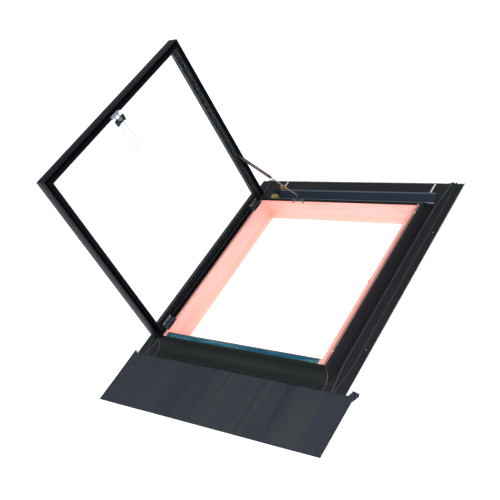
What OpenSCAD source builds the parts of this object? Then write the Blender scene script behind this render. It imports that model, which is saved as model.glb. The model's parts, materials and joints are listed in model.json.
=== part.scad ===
// Side-hung roof access skylight: timber frame, folded flashing, pleated apron,
// glazed aluminium sash on two hinges, a telescopic stay and a latch.
// X runs across the roof, Y up the slope, Z out of the roof.
// The origin is the middle of the opening, in the plane of the roof surface.
// The sash is drawn closed and then turned to stand open on its stop.

/* [Opening] */
// Clear width between the side timbers
opening_w = 790; // [650:5:1000]
// Clear length from sill to head
opening_l = 800; // [650:5:1200]

/* [Timber frame] */
// Thickness of the timbers
timber_t = 35; // [30:1:45]
// Depth of the timbers
timber_h = 112; // [90:1:140]
// Height of the timber tops above the roof surface
timber_top = 46; // [42:1:52]
// Width of the flat strip left on top of the timbers
strip_w = 14; // [12:1:16]
// Depth of the rebate behind the strip
rebate_d = 26; // [24:1:30]

/* [Flashing] */
// Thickness of the folded sheet
sheet_t = 1; // [0.6:0.1:1.2]
// Width of the flashing from the opening edge
flange_w = 140; // [130:1:160]
// Length of flashing above the opening
flange_head = 186; // [160:1:220]
// Length of flashing below the opening, to the apron seam
flange_sill = 100; // [96:1:112]
// Height of the turned-up edge above the timber tops
upstand_rise = 12; // [10:1:12]
// Height of the inner rain ridge
ridge_h = 8; // [5:0.5:10]
// Width of the folded hem
hem_w = 9; // [6:1:12]

/* [Apron] */
// Half the width of the pleated apron
apron_half = 560; // [545:1:590]
// Length of the apron below the seam
apron_l = 250; // [150:1:280]
// Distance from pleat to pleat
pleat_pitch = 7.4; // [5:0.1:9]
// Height of the pleats
pleat_h = 2.4; // [1.5:0.1:3]

/* [Sash] */
// Thickness of the sash
sash_t = 38; // [36:1:42]
// Width of the sash rails
rail_w = 30; // [28:1:34]
// Reach of the sash past the opening on the free, head and sill sides
sash_over = 40; // [39:0.5:42]
// Reach of the sash past the opening on the hinge side
sash_back = 22; // [21:0.5:23]
// Gap from timber top to the closed sash
sash_gap = 13; // [13:0.5:14]
// Thickness of each pane
pane_t = 4; // [3:0.5:5]

/* [Hinges] */
// Distance of the hinge line from the opening edge
hinge_back = 17; // [16:0.5:18]
// Height of the hinge line above the timber tops
hinge_rise = 7; // [7:0.1:7.5]
// Length of a hinge
hinge_l = 58; // [50:1:70]
// Distance of each hinge from the opening's end
hinge_in = 40; // [40:1:120]
// Radius of the hinge pins
hinge_pin_r = 2.5; // [2:0.1:2.8]

/* [Stay] */
// Radius of the stay tube
tube_r = 7; // [6:0.25:7]
// Distance across the roof from the slider pin to the frame pin, at rest
stay_across = 235; // [230:1:240]
// Height of the slider pin above the frame pin, at rest
stay_up = 252; // [248:1:256]
// Radius of the stay rod
rod_r = 3; // [2.5:0.1:3]

/* [Latch] */
// Length of the latch handle
handle_l = 48; // [46:1:60]
// Thickness of the latch handle
handle_t = 14; // [12:0.5:14]
// Turn of the latch from free to fastened
latch_turn = 70; // [60:1:75]

/* [Hidden] */
$fn = 48;
eps = 0.01;
fit = 0.05;

// Screws: the radius of a shank, of a head, and the height of a head
wood_screw = [1.75, 3.5, 1.2];
sheet_screw = [1.4, 2.7, 1.2];
strip_screw = [1.6, 3.4, 1];
keeper_screw = [1.5, 3, 1];

hw = opening_w / 2;
hl = opening_l / 2;
timber_bottom = timber_top - timber_h;
jamb_l = opening_l + 2 * timber_t;
rebate_z = timber_top - rebate_d;
rebate_w = timber_t - strip_w;

// Screws along X that pull the corners together
corner_screw_r = 2.5;
corner_screw_l = 78;
corner_screw_z = [-10, -40];
corner_head_r = 5;
corner_head_h = 3;

// Distances from the opening edge
up_in = timber_t + 0.5;
up_out = up_in + sheet_t;
upstand_top = timber_top + upstand_rise;
upstand_end = hl + strip_w;
head_top = rebate_z + 8;
fixing_d = 114;
fixing_y = 300;
fixing_r = 1.75;

// Places of the rain ridges along the side flashing: [y, first ridge, second ridge]
ridge_run = [
  [-hl - flange_sill, 81, 89.5], [-hl - 62, 76, 94], [-hl - 18, 69, 101],
  [-hl + 30, 65.5, 104.5], [-hl + 80, 65, 105], [hl - 60, 65, 105],
  [hl + 30, 67.5, 104.5], [hl + 90, 75, 102.5], [hl + 150, 84, 100],
  [hl + flange_head, 88, 98.5]
];

// Curve of the front flashing, and the sheet's half width between the side cheeks
front_r = timber_top - 2 * sheet_t;
front_y = -hl - up_out;
front_half = hw + up_in - 0.1;
front_lip_in = hl + 24.5;

// Sheet of the apron and of the bare strip on its tab
apron_t = 0.8;

// Rain cover behind the head
cover_y0 = hl + 42;
cover_y1 = hl + 70;
cover_back = cover_y1 + 6;
cover_z0 = timber_top - 24;
cover_z1 = timber_top + 1;
cover_tilt = atan2(cover_z1 - cover_z0, cover_y1 - cover_y0);
cover_x0 = -hw + 60;
cover_x1 = hw + 65;
cover_t = 1.2;
cover_foot_x0 = -hw + 12;
cover_foot_x1 = hw + 30;
cover_foot_w = 12;
strap_xs = [-hw + 18, hw + 5];
strap_w = 8;

// Guide posts for the free side of the sash, and the spare holes beside them
guide_x = hw + 24;
guide_r = 4;
guide_peg_r = 2;
spare_hole_x = hw + 4;
spare_hole_dys = [-25, 25];

// Packing left in the head rebate, and the piece that stands behind the rain cover
rebate_block = [32, 18.5, 37];
cover_block = [18, 16, 46];

rivet_r = 1.5;
rivet_head_r = 2.6;
rivet_head_t = 0.8;
rivet_l = 5;
rivet_pitch = 56;
rivet_y = -hl - flange_sill + 4.5;
rivet_xs = [for (i = [-7:7]) i * rivet_pitch];

sill_strip_in = 3;
sill_strip_w = 21;
sill_strip_t = 1.2;
sill_screw_xs = [-hw + 43, 1, hw - 36];
sill_screw_y = -hl - 20;

// Sash, as it lies closed
hinge_x = -hw - hinge_back;
hinge_z = timber_top + hinge_rise;
sash_x0 = -hw - sash_back;
sash_x1 = hw + sash_over;
sash_y = hl + sash_over;
sash_z = timber_top + sash_gap;
sash_w = sash_x1 - sash_x0;
sash_mid = (sash_x0 + sash_x1) / 2;
wall_t = 2;
skirt_drop = 9;
web_u = 20.5;
box_h = 12;
glass_u = 24;
glass_v = 14;
glass_t = sash_t - 4 - glass_v;
spacer_u = 26.5;
spacer_w = 6;
lip_v = 25;
lip_t = 1.5;
lip_w = 1.2;

gasket_x0 = -hw - 3.5;
gasket_x1 = hw + 16;
gasket_y = hl + 15;
gasket_w = 5;
gasket_z = timber_top + 1.6;

// Hinges
hinge_ys = [-hl + hinge_in, hl - hinge_in];
knuckle_r = 5;
leaf_t = 2;
knuckle_third = hinge_l / 3;
knuckle_gap = 0.4;
frame_leaf_x = -hw - 1;
sash_leaf_x = -hw + 5;
hinge_screw_dys = [-20, 20];
frame_screw_x = -hw - 6.5;
sash_screw_x = -hw + 1.4;

// Stay: the slider pin at rest and the pin on the frame
pin_x = -hw + 190;
pin_z = timber_top + 10;
stay_y = hl + 27.5;
slide_x = pin_x - stay_across;
slide_z = pin_z + stay_up;
stay_l = norm([stay_across, stay_up]);
stay_angle = atan2(stay_across, -stay_up);
slider_x = hinge_x + (slide_z - hinge_z);
slider_z = hinge_z - (slide_x - hinge_x);
slider_screw_x = 21;
tube_l = 200;
tube_wall = 1.2;
tube_from = 15;
eye_r = 6;
eye_t = 5;
stay_pin_r = 3;
rod_top = 152;
rod_eye_t = 6;
pin_gap = 0.5;
bracket_x = pin_x - 20;
bracket_l = 61;
bracket_w = 15;
bracket_screw_xs = [pin_x - 14, pin_x + 36];
bracket_screw_y = hl + 6;
ear_y = hl + 20;
prong_w = 9;
frame_pin_r = 2.5;

// Latch, as it lies with the sash closed
latch_y = -15;
latch_x = hw - 10;
latch_z = timber_top + 1;
arm_gap = 18;
arm_t = 2;
arm_r = 5;
spindle_r = 3;
hub_r = 4.8;
tongue_w = 10;
tongue_reach = 7.4;
handle_deep = 20;
handle_waist = 18;
waist_l = 34;
recess_l = 24;
keeper_l = 44;
keeper_t = 1.6;
keeper_reach = 5.5;
hook_l = 16;
hook_z = timber_top - 3;
keeper_screw_dys = [-12, 12];
keeper_screw_z = timber_top - 19;
plate_screw_dys = [-18, 18];
plate_screw_x = hw + 14;

// Half of the pull loop as [distance from its middle line, depth], from the handle down
loop_r = 1.5;
loop_end_l = 5;
loop_top = [-406, latch_y, 835];
loop_half = [
  [8, 0], [8, 8], [8.8, 17], [10.2, 27], [12, 37], [13.8, 47], [15.2, 57], [16.2, 67],
  [16.8, 77], [17, 87], [16.9, 97], [16.5, 107], [15.4, 116], [13.2, 124.5],
  [10, 131.5], [6, 136.5], [2, 138.8]
];

// A point of the loop, which hangs in the sash's plane and turns as it goes down
function loop_at(side, depth) = let (a = 90 - 55 * min(1, depth / 60))
  loop_top + [side * cos(a), side * sin(a), -depth];
loop_route = concat(
  [for (p = loop_half) loop_at(-p[0], p[1])],
  [for (i = [len(loop_half) - 1:-1:0]) loop_at(loop_half[i][0], loop_half[i][1])]);

wood = [0.93, 0.74, 0.62];
coated = [0.17, 0.19, 0.19];
slate = [0.21, 0.23, 0.27];
dark_alu = [0.09, 0.11, 0.12];
teal_alu = [0.08, 0.38, 0.45];
zinc = [0.72, 0.74, 0.76];
black_rubber = [0.06, 0.06, 0.07];
foam = [0.45, 0.40, 0.24];

// --- helpers ---------------------------------------------------------------

module both_sides() {
  children();
  mirror([1, 0, 0]) children();
}

// Extrudes a YZ outline by length along X, from x0
module along_x(x0, length) {
  translate([x0, 0, 0]) rotate([90, 0, 90]) linear_extrude(length) children();
}

// Extrudes an XZ outline by length along Y, from y0
module along_y(y0, length) {
  translate([0, y0 + length, 0]) rotate([90, 0, 0]) linear_extrude(length) children();
}

module rod_x(x0, length, r) {
  translate([x0, 0, 0]) rotate([0, 90, 0]) cylinder(h = length, r = r);
}

module rod_y(y0, length, r) {
  translate([0, y0 + length, 0]) rotate([90, 0, 0]) cylinder(h = length, r = r);
}

// A pan-head screw of one kind, its head standing on z = 0 and its shank running down
module screw(kind, shank_l) {
  cylinder(h = kind[2], r1 = kind[1], r2 = kind[1] * 0.6);
  translate([0, 0, -shank_l]) cylinder(h = shank_l + eps, r = kind[0]);
}

// Turns what is drawn with the sash closed to the open rest position
module opened() {
  translate([hinge_x, 0, hinge_z]) rotate([0, -90, 0])
    translate([-hinge_x, 0, -hinge_z]) children();
}

// A flat ring between two upright rectangles, centred on the sash
module ring(outer, inner, z0, h) {
  difference() {
    translate([sash_mid - outer[0] / 2, -outer[1] / 2, z0]) cube([outer[0], outer[1], h]);
    translate([sash_mid - inner[0] / 2, -inner[1] / 2, z0 - 1])
      cube([inner[0], inner[1], h + 2]);
  }
}

function inset(u) = [sash_w - 2 * u, 2 * sash_y - 2 * u];

// --- timber frame ----------------------------------------------------------

module timber_section(rebated) {
  difference() {
    translate([0, timber_bottom]) square([timber_t, timber_h]);
    if (rebated) translate([strip_w, rebate_z]) square([rebate_w + 1, rebate_d + 1]);
  }
}

module corner_holes() {
  for (sy = [-1, 1], z = corner_screw_z)
    translate([0, sy * (hl + timber_t / 2), z]) {
      rod_x(hw - 60, 60 + timber_t + 1, corner_screw_r + fit);
      rod_x(hw + timber_t - corner_head_h - 0.2, 5, corner_head_r + 0.1);
    }
}

module right_jamb_shape() {
  difference() {
    translate([hw, 0, 0]) along_y(-jamb_l / 2, jamb_l) timber_section(true);
    translate([hw - 1, hl + strip_w, rebate_z]) cube([strip_w + 2, rebate_w + 1, rebate_d + 1]);
    corner_holes();
  }
}

module left_jamb() {
  color(wood) difference() {
    mirror([1, 0, 0]) right_jamb_shape();
    for (y = hinge_ys, dy = hinge_screw_dys)
      translate([frame_screw_x, y + dy, timber_top - 22])
        cylinder(h = 30, r = wood_screw[0] + fit);
  }
}

module right_jamb() {
  color(wood) difference() {
    right_jamb_shape();
    for (dy = keeper_screw_dys)
      translate([0, latch_y + dy, keeper_screw_z]) rod_x(hw - 1, 17, keeper_screw[0] + fit);
    for (y = hinge_ys) {
      for (dy = spare_hole_dys) translate([spare_hole_x, y + dy, timber_top - 12])
        cylinder(h = 20, r = 1.6);
      translate([guide_x, y, rebate_z - 12]) cylinder(h = 20, r = guide_peg_r + fit);
    }
  }
}

module head_timber() {
  color(wood) difference() {
    translate([0, hl, 0]) along_x(-hw, opening_w) timber_section(true);
    both_sides() corner_holes();
    for (x = bracket_screw_xs) translate([x, bracket_screw_y, timber_top - 20])
      cylinder(h = 30, r = wood_screw[0] + fit);
    spare_head_at() rod_y(-1, 20, wood_screw[0] + fit);
  }
}

module sill_timber() {
  color(wood) difference() {
    mirror([0, 1, 0]) translate([0, hl, 0]) along_x(-hw, opening_w) timber_section(false);
    both_sides() corner_holes();
    for (x = sill_screw_xs) translate([x, sill_screw_y, timber_top - 20])
      cylinder(h = 30, r = strip_screw[0] + fit);
  }
}

module corner_screws() {
  color(zinc) both_sides() for (sy = [-1, 1], z = corner_screw_z)
    translate([0, sy * (hl + timber_t / 2), z]) {
      rod_x(hw + timber_t - corner_screw_l, corner_screw_l - 1, corner_screw_r);
      rod_x(hw + timber_t - corner_head_h, corner_head_h, corner_head_r);
    }
}

// Flat strip screwed to the sill along the edge of the opening
module sill_strip() {
  color(teal_alu) difference() {
    translate([-hw + 8, -hl - sill_strip_in - sill_strip_w, timber_top])
      cube([opening_w - 16, sill_strip_w, sill_strip_t]);
    for (x = sill_screw_xs) translate([x, sill_screw_y, timber_top - 1])
      cylinder(h = 4, r = strip_screw[0] + fit);
  }
}

module sill_strip_screws() {
  color(zinc) for (x = sill_screw_xs)
    translate([x, sill_screw_y, timber_top + sill_strip_t]) screw(strip_screw, 18);
}

// Sheet over the head timber, folded down into its rebate, which runs on over the jambs
module head_liner() {
  t = sheet_t;
  floor_x = hw + timber_t - 0.5;
  color(coated) difference() {
    along_x(-hw - strip_w, opening_w + 2 * strip_w) polygon([
      [hl + 0.5, timber_top], [hl + 0.5, timber_top + t],
      [hl + strip_w + t, timber_top + t], [hl + strip_w + t, rebate_z + t],
      [hl + timber_t - 0.5, rebate_z + t], [hl + timber_t - 0.5, rebate_z + eps],
      [hl + strip_w + 0.1, rebate_z + eps], [hl + strip_w + 0.1, timber_top]
    ]);
    for (x = bracket_screw_xs) translate([x, bracket_screw_y, timber_top - 1])
      cylinder(h = 4, r = wood_screw[0] + fit);
  }
  color(coated) translate([-floor_x, hl + strip_w + 0.1, rebate_z + eps])
    cube([2 * floor_x, rebate_w - 0.6, t - eps]);
}

// Foam packing near the hinge corner: in the head rebate, and behind the rain cover
module packing_blocks() {
  color(foam) {
    translate([-hw + 41, hl + strip_w + 1.3, rebate_z + sheet_t + 0.1]) cube(rebate_block);
    translate([-hw + 40, cover_back + cover_foot_w + 2, sheet_t + 0.1]) cube(cover_block);
  }
}

// Posts with domed caps that guide the free side of the sash
module sash_guides() {
  color("white") for (y = hinge_ys) translate([guide_x, y, 0]) {
    translate([0, 0, rebate_z - 10]) cylinder(h = 10 + eps, r = guide_peg_r);
    translate([0, 0, rebate_z]) cylinder(h = rebate_d - 1, r = guide_r);
    translate([0, 0, timber_top - 1 - eps]) cylinder(h = 2, r1 = guide_r, r2 = guide_r - 1.5);
  }
}

// --- flashing --------------------------------------------------------------

function side_profile(r1, r2) =
  let (c = min(6, (r2 - r1) / 2 - 0.5))
  [[up_in, 0], [r1 - 26, 0], [r1 - 1, ridge_h], [r1 + 1, ridge_h], [r1 + c, 1.2],
   [r2 - c, 1.2], [r2 - 1, ridge_h - 1], [r2 + 1, ridge_h - 1], [r2 + 6, 0], [flange_w, 0]];

// A sheet lofted through the ridge profiles: upper points first, then lower ones
module side_sheet() {
  rows = [for (s = ridge_run) side_profile(s[1], s[2])];
  n = len(rows[0]);
  m = len(rows);
  upper = [for (j = [0:m - 1], p = rows[j]) [hw + p[0], ridge_run[j][0], p[1] + sheet_t]];
  lower = [for (j = [0:m - 1], p = rows[j]) [hw + p[0], ridge_run[j][0], p[1]]];
  k = n * m;
  top = [for (j = [0:m - 2], i = [0:n - 2], h = [0, 1]) let (a = j * n + i)
    h == 0 ? [a, a + n, a + 1] : [a + 1, a + n, a + n + 1]];
  ends = [for (i = [0:n - 2]) each [[i, i + 1, k + i + 1], [i, k + i + 1, k + i],
    [k - n + i, 2 * k - n + i, k - n + i + 1],
    [k - n + i + 1, 2 * k - n + i, 2 * k - n + i + 1]]];
  sides = [for (j = [0:m - 2]) let (a = j * n, b = j * n + n - 1) each
    [[a, k + a, k + a + n], [a, k + a + n, a + n], [b, b + n, k + b + n], [b, k + b + n, k + b]]];
  bottom = [for (f = top) [f[0] + k, f[2] + k, f[1] + k]];
  polyhedron(concat(upper, lower), concat(top, bottom, ends, sides));
}

// The turned-up edge beside the timber, low behind the head, with a cheek under the front curve
module side_upstand(top_z) {
  curve = [for (a = [0:9:90])
    [front_y - front_r + (front_r - 0.2) * cos(a), front_r + sheet_t - (front_r + 0.2) * sin(a)]];
  color(coated) along_x(hw + up_in, sheet_t) polygon(concat(
    [[hl + up_in - 0.2, 0.5], [hl + up_in - 0.2, head_top], [upstand_end, head_top],
     [upstand_end, top_z], [front_y + 0.2, top_z]], curve,
    [[front_y - front_r, 0.5]]));
}

module side_flashing(top_z) {
  difference() {
    union() {
      side_sheet();
      side_upstand(top_z);
      translate([hw + flange_w - hem_w, -hl - flange_sill, sheet_t - eps])
        cube([hem_w, flange_sill + opening_l + flange_head, sheet_t]);
    }
    for (sy = [-1, 1]) translate([hw + fixing_d, sy * fixing_y, -1])
      cylinder(h = 5, r = fixing_r);
  }
}

module left_flashing() {
  color(coated) mirror([1, 0, 0]) side_flashing(timber_top);
}

module right_flashing() {
  color(coated) side_flashing(upstand_top);
}

// Sheet above the head, turned up behind the timber to just above the floor of its rebate
module head_flashing() {
  t = sheet_t;
  half = hw + up_in - 0.2;
  color(coated) along_x(-half, 2 * half) polygon([
    [hl + up_in, 0], [hl + up_in, head_top], [hl + up_out, head_top],
    [hl + up_out, t], [hl + flange_head - hem_w, t], [hl + flange_head - hem_w, 2 * t],
    [hl + flange_head, 2 * t], [hl + flange_head, 0]
  ]);
}

// Lip on the sill, concave curve down to the roof, and the flat band riveted to the apron
module front_flashing() {
  t = sheet_t;
  cy = front_y - front_r;
  cz = front_r + t;
  outer = [for (a = [0:6:90]) [cy + front_r * cos(a), cz - front_r * sin(a)]];
  inner = [for (a = [90:-6:0]) [cy + (front_r + t) * cos(a), cz - (front_r + t) * sin(a)]];
  color(coated) difference() {
    along_x(-front_half, 2 * front_half) polygon(concat(
      [[-front_lip_in, timber_top], [-front_lip_in, timber_top + t], [front_y, timber_top + t]],
      outer, [[-hl - flange_sill, t], [-hl - flange_sill, 0]], inner, [[front_y + t, timber_top]]));
    for (x = rivet_xs) translate([x, rivet_y, -1]) cylinder(h = 4, r = rivet_r + fit);
  }
}

// Outline of the apron seen from above, with a tab beside each side flashing
module apron_outline() {
  seam = -hl - flange_sill;
  polygon([
    [-apron_half, seam - apron_l], [apron_half, seam - apron_l], [apron_half + 3, seam - 20],
    [apron_half + 22, seam + 2], [apron_half + 22, seam + 12], [hw + flange_w + 12, seam + 20],
    [hw + flange_w + 3, seam + 1], [hw + up_in, seam + 8], [-hw - up_in, seam + 8],
    [-hw - flange_w - 3, seam + 10], [-apron_half, seam + 20]
  ]);
}

// One zigzag sheet, its pleats running down the slope
module apron() {
  t = apron_t;
  n = ceil((apron_half + 30) / pleat_pitch);
  tops = [for (i = [-2 * n:2 * n])
    [i * pleat_pitch / 2, -0.3 - (abs(i) % 2) * pleat_h]];
  lows = [for (i = [2 * n:-1:-2 * n])
    [i * pleat_pitch / 2, -0.3 - t - (abs(i) % 2) * pleat_h]];
  color(slate) difference() {
    intersection() {
      along_y(-hl - flange_sill - apron_l - 5, apron_l + 60) polygon(concat(tops, lows));
      translate([0, 0, -20]) linear_extrude(40) apron_outline();
    }
    for (x = rivet_xs) translate([x, rivet_y, -6]) cylinder(h = 8, r = rivet_r + fit);
  }
}

module apron_rivets() {
  color(coated) for (x = rivet_xs) translate([x, rivet_y, sheet_t]) {
    screw([rivet_r, rivet_head_r, rivet_head_t], rivet_l);
    translate([0, 0, -rivet_l - 0.6]) cylinder(h = rivet_head_t, r = rivet_head_r);
  }
}

// Bare metal edging on the apron's tab at the hinge side
module apron_edge_strip() {
  seam = -hl - flange_sill;
  color(zinc) translate([-apron_half, seam + 9, 0.2]) rotate([0, 0, -14])
    cube([apron_half - hw - flange_w - 3, 8, apron_t]);
}

// Sloped rain cover behind the head, folded from one sheet, on a foot that is longer to
// the hinge side, with a small ear at the other end
module head_cover() {
  t = cover_t;
  foot_z = sheet_t + 0.1;
  lip = 6;
  ear = [1.3, 2 * (cover_back - cover_y1), 16];
  color(coated) {
    along_x(cover_x0, cover_x1 - cover_x0) polygon([
      [cover_y0, cover_z0 - lip], [cover_y0, cover_z0], [cover_y1, cover_z1],
      [cover_back, cover_z1], [cover_back, cover_z1 - lip], [cover_back - t, cover_z1 - lip],
      [cover_back - t, cover_z1 - t], [cover_y1 + t * tan(cover_tilt / 2), cover_z1 - t],
      [cover_y0 + t, cover_z0 + t * tan(cover_tilt) - t / cos(cover_tilt)],
      [cover_y0 + t, cover_z0 - lip]
    ]);
    along_x(cover_foot_x0, cover_foot_x1 - cover_foot_x0) polygon([
      [cover_back - t, cover_z1 - 5], [cover_back - t, foot_z],
      [cover_back + cover_foot_w, foot_z], [cover_back + cover_foot_w, foot_z + t],
      [cover_back, foot_z + t], [cover_back, cover_z1 - 5]
    ]);
    translate([cover_x1 - 0.1, cover_back - ear[1], cover_z1 - ear[2]]) cube(ear);
  }
}

// Bare metal straps that hold the cover's foot to the head flashing
module cover_straps() {
  y0 = cover_back + 1.4;
  y1 = hl + flange_head - hem_w - 1;
  z0 = sheet_t + cover_t + 0.2;
  t = 1.2;
  color(zinc) for (x = strap_xs) along_x(x - strap_w / 2, strap_w) polygon([
    [y0, z0], [y0, 26], [y0 + t, 26], [y0 + t, z0 + t], [y1, z0 + t], [y1, z0]
  ]);
}

// --- hinges ----------------------------------------------------------------

module hinge_frame_leaves() {
  color(zinc) for (y = hinge_ys) translate([0, y, 0]) difference() {
    union() {
      translate([hinge_x - 2, -hinge_l / 2, timber_top])
        cube([frame_leaf_x - hinge_x + 2, hinge_l, leaf_t]);
      for (s = [-1, 1]) translate([hinge_x, 0, 0]) {
        y0 = s > 0 ? knuckle_third / 2 + knuckle_gap : -hinge_l / 2;
        translate([0, 0, hinge_z]) rod_y(y0, knuckle_third - knuckle_gap, knuckle_r);
        translate([-2, y0, timber_top + 1]) cube([4, knuckle_third - knuckle_gap, 4]);
      }
    }
    translate([hinge_x, 0, hinge_z]) rod_y(-hinge_l, 2 * hinge_l, hinge_pin_r + fit);
    for (dy = hinge_screw_dys)
      translate([frame_screw_x, dy, timber_top - 1]) cylinder(h = 5, r = wood_screw[0] + fit);
  }
}

module hinge_pins() {
  color(zinc) for (y = hinge_ys) translate([hinge_x, y, hinge_z]) {
    rod_y(-hinge_l / 2 - 1, hinge_l + 2, hinge_pin_r);
    for (y0 = [-hinge_l / 2 - 2.2, hinge_l / 2 + 0.2]) rod_y(y0, 2, hinge_pin_r + 1);
  }
}

module hinge_frame_screws() {
  color(zinc) for (y = hinge_ys, dy = hinge_screw_dys)
    translate([frame_screw_x, y + dy, timber_top + leaf_t]) screw(wood_screw, 20);
}

module hinge_sash_leaves() {
  color(zinc) opened() for (y = hinge_ys) translate([0, y, 0]) difference() {
    union() {
      translate([hinge_x + knuckle_r + 0.6, -hinge_l / 2, sash_z - leaf_t])
        cube([sash_leaf_x - hinge_x - knuckle_r - 0.6, hinge_l, leaf_t]);
      translate([hinge_x, 0, hinge_z])
        rod_y(-knuckle_third / 2 + knuckle_gap, knuckle_third - 2 * knuckle_gap, knuckle_r);
      translate([hinge_x, -knuckle_third / 2 + knuckle_gap, sash_z - leaf_t])
        cube([knuckle_r + 1, knuckle_third - 2 * knuckle_gap, leaf_t]);
    }
    translate([hinge_x, 0, hinge_z]) rod_y(-hinge_l, 2 * hinge_l, hinge_pin_r + fit);
    for (dy = hinge_screw_dys)
      translate([sash_screw_x, dy, sash_z - 5]) cylinder(h = 8, r = sheet_screw[0] + fit);
  }
}

module hinge_sash_screws() {
  color(zinc) opened() for (y = hinge_ys, dy = hinge_screw_dys)
    translate([sash_screw_x, y + dy, sash_z - leaf_t]) mirror([0, 0, 1])
      screw(sheet_screw, 8);
}

// --- sash ------------------------------------------------------------------

// Section of a rail: u from the outer edge inwards, v up from the inner face
module rail_section(skirt) {
  difference() {
    translate([0, -skirt]) square([rail_w, sash_t + skirt]);
    translate([wall_t, -skirt - 1]) square([web_u - wall_t, lip_v + skirt + 1]);
    translate([wall_t + lip_w, 0]) square([web_u - wall_t - 2 * lip_w, lip_v + lip_t + 1]);
    translate([wall_t, lip_v + lip_t]) square([web_u - wall_t, sash_t - 4 - lip_v - lip_t]);
    translate([web_u - 1, -skirt - 1]) square([rail_w, skirt + 1]);
    translate([web_u + 1.5, 1.5]) square([rail_w - web_u - 3, box_h - 3]);
    translate([web_u + 1.5, box_h]) square([rail_w, sash_t - 2 - box_h]);
  }
}

// A rail along Y with mitred ends, its outer edge on x = 0
module mitred_rail(length, skirt) {
  intersection() {
    along_y(-length / 2, length) rail_section(skirt);
    translate([0, 0, -skirt - 1]) linear_extrude(sash_t + skirt + 2) polygon([
      [0, -length / 2], [rail_w, -length / 2 + rail_w],
      [rail_w, length / 2 - rail_w], [0, length / 2]
    ]);
  }
}

module sash_hinge_rail() {
  color(dark_alu) opened() difference() {
    translate([sash_x0, 0, sash_z]) mitred_rail(2 * sash_y, 0);
    for (y = hinge_ys, dy = hinge_screw_dys)
      translate([sash_screw_x, y + dy, sash_z - 1]) cylinder(h = 4, r = sheet_screw[0] + fit);
  }
}

module sash_free_rail() {
  color(dark_alu) opened() difference() {
    translate([sash_x1, 0, sash_z]) rotate([0, 0, 180]) mitred_rail(2 * sash_y, skirt_drop);
    for (dy = plate_screw_dys) translate([plate_screw_x, latch_y + dy, sash_z - 1])
      cylinder(h = 4, r = sheet_screw[0] + fit);
  }
}

module sash_head_rail() {
  color(dark_alu) opened() translate([sash_mid, sash_y, sash_z]) rotate([0, 0, -90])
    mitred_rail(sash_w, skirt_drop);
}

module sash_sill_rail() {
  color(dark_alu) opened() translate([sash_mid, -sash_y, sash_z]) rotate([0, 0, 90])
    mitred_rail(sash_w, skirt_drop);
}

// Angles inside the hollow of the rails that hold the mitres together
module corner_cleats() {
  u = web_u + 1.5 + 0.15;
  w = rail_w - web_u - 3 - 0.3;
  h = box_h - 3 - 0.3;
  arm = 32;
  color(zinc) opened()
    for (sx = [-1, 1], sy = [-1, 1])
      translate([sash_mid + sx * (sash_w / 2 - u), sy * (sash_y - u), sash_z + 1.65])
        mirror([sx > 0 ? 1 : 0, 0, 0]) mirror([0, sy > 0 ? 1 : 0, 0]) {
          cube([arm, w, h]);
          cube([w, arm, h]);
        }
}

module pane(v) {
  opened() translate([sash_x0 + glass_u, -sash_y + glass_u, sash_z + v])
    cube([sash_w - 2 * glass_u, 2 * (sash_y - glass_u), pane_t]);
}

module outer_pane() {
  color([0.75, 0.85, 0.88, 0.4]) pane(glass_v + glass_t - pane_t);
}

module inner_pane() {
  color([0.75, 0.85, 0.88, 0.4]) pane(glass_v);
}

module spacer_bar() {
  color(zinc) opened() ring(inset(spacer_u), inset(spacer_u + spacer_w),
    sash_z + glass_v + pane_t, glass_t - 2 * pane_t);
}

module pane_sealant() {
  color(black_rubber) opened() ring(inset(glass_u + 0.3), inset(spacer_u - 0.05),
    sash_z + glass_v + pane_t, glass_t - 2 * pane_t);
}

module glazing_gaskets() {
  color(black_rubber) opened() {
    ring(inset(web_u + 2), inset(rail_w + 1), sash_z + box_h, glass_v - box_h);
    ring(inset(web_u + 2), inset(rail_w + 1), sash_z + glass_v + glass_t, 2);
  }
}

// Hollow seal under the sash, cut away at the hinges and at the stay bracket
module sash_gasket() {
  w = gasket_w;
  color(black_rubber) opened() difference() {
    translate([gasket_x0, -gasket_y, gasket_z])
      cube([gasket_x1 - gasket_x0, 2 * gasket_y, sash_z - gasket_z]);
    translate([gasket_x0 + w, -gasket_y + w, gasket_z - 1])
      cube([gasket_x1 - gasket_x0 - 2 * w, 2 * gasket_y - 2 * w, 30]);
    for (y = hinge_ys) translate([gasket_x0 - 1, y - hinge_l / 2 - 2, gasket_z - 1])
      cube([w + 3, hinge_l + 4, 30]);
    translate([pin_x - 24, hl, gasket_z - 1]) cube([68, 40, 30]);
    translate([gasket_x1 - 8, latch_y - 28, gasket_z - 1]) cube([10, 56, 30]);
  }
}

// --- latch -----------------------------------------------------------------

// One arm of the fork, from the plate down to its eye
module latch_arm() {
  difference() {
    union() {
      along_y(0, arm_t) polygon([
        [latch_x - 3.3, latch_z + 3.7], [hw + 3, sash_z - leaf_t + 0.5],
        [hw + 13, sash_z - leaf_t + 0.5], [latch_x + 3.3, latch_z - 3.7]
      ]);
      translate([latch_x, 0, latch_z]) rod_y(0, arm_t, arm_r);
    }
    translate([latch_x, 0, latch_z]) rod_y(-1, arm_t + 2, spindle_r + fit);
  }
}

// Plate on the free rail with a fork for the spindle
module latch_plate() {
  color(zinc) opened() {
    difference() {
      translate([hw + 4, latch_y - 25, sash_z - leaf_t]) cube([14, 50, leaf_t]);
      for (dy = plate_screw_dys) translate([plate_screw_x, latch_y + dy, sash_z - 5])
        cylinder(h = 8, r = sheet_screw[0] + fit);
    }
    for (y = [latch_y - arm_gap / 2 - arm_t, latch_y + arm_gap / 2])
      translate([0, y, 0]) latch_arm();
  }
}

module latch_plate_screws() {
  color(zinc) opened() for (dy = plate_screw_dys)
    translate([plate_screw_x, latch_y + dy, sash_z - leaf_t]) mirror([0, 0, 1])
      screw(sheet_screw, 7);
}

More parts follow.
